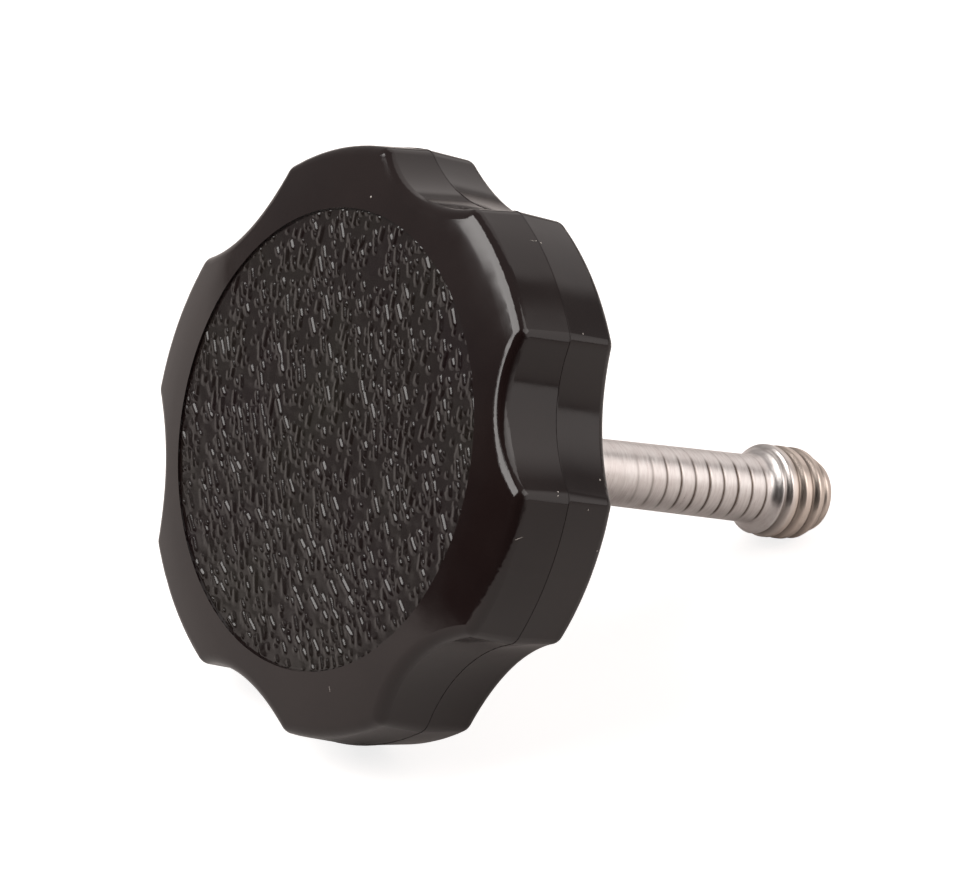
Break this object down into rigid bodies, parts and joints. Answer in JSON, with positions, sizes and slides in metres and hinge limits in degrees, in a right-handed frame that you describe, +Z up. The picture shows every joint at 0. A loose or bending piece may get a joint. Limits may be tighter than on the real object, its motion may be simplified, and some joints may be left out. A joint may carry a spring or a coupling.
{
  "type": "fluted clamping knob",
  "caption": "Round fluted clamping knob in black moulded plastic with a captive steel stud, lying on its rim and stud tip.",
  "frame": {"origin": "centre of the box of the knob as it lies, at the ground it lies on", "axes": "+Z up; +Y the way the stud points, seen from above; the face that the hand presses looks toward -Y and slightly up"},
  "size_m": [0.0382, 0.0462, 0.0357],
  "materials": {
    "head_plastic": "semi-gloss black moulded plastic with a finely textured sunk disc",
    "stud_steel": "bright zinc plate with fine turning streaks"
  },
  "bodies": {
    "root": {"knob_head": "head_plastic", "threaded_stud": "stud_steel"}
  },
  "joints": []
}
